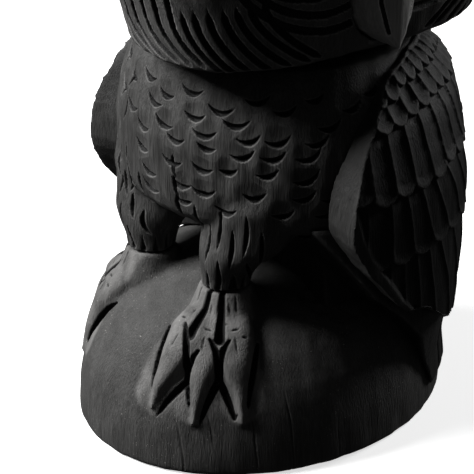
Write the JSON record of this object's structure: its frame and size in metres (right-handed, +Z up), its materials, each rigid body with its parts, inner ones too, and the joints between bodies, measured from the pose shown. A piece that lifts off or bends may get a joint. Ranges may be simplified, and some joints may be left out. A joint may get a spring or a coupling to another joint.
{
  "type": "carved wooden figurine",
  "caption": "Carved, black-stained wooden owl with a turned head, standing on a rounded oval base, glued and dowelled up from separate pieces of wood.",
  "frame": {"origin": "centre of the oval underside of the base, on the surface that the figurine stands on", "axes": "+Z up through the body, -Y the way the body and the feet face, +X the owl's own left side, to which the head is turned"},
  "size_m": [0.198, 0.2024, 0.3305],
  "materials": {
    "stained_base_wood": "black stain, matte, grain showing",
    "stained_body_wood": "black stain, matte",
    "stained_wing_wood": "black stain, matte",
    "stained_tail_wood": "black stain, matte",
    "stained_head_wood": "black stain, matte",
    "stained_beak_wood": "black stain, smooth",
    "lacquered_eye_wood": "black, lightly polished",
    "beech_dowel": "bare wood"
  },
  "bodies": {
    "root": {"base_block": "stained_base_wood", "body_block": "stained_body_wood", "left_wing": "stained_wing_wood", "right_wing": "stained_wing_wood", "tail_block": "stained_tail_wood", "head_block": "stained_head_wood", "beak": "stained_beak_wood", "left_eye": "lacquered_eye_wood", "right_eye": "lacquered_eye_wood", "neck_dowel": "beech_dowel", "left_leg_dowel": "beech_dowel", "right_leg_dowel": "beech_dowel", "tail_dowel_left": "beech_dowel", "tail_dowel_right": "beech_dowel", "left_wing_dowel_upper": "beech_dowel", "left_wing_dowel_lower": "beech_dowel", "right_wing_dowel_upper": "beech_dowel", "right_wing_dowel_lower": "beech_dowel"}
  },
  "joints": []
}
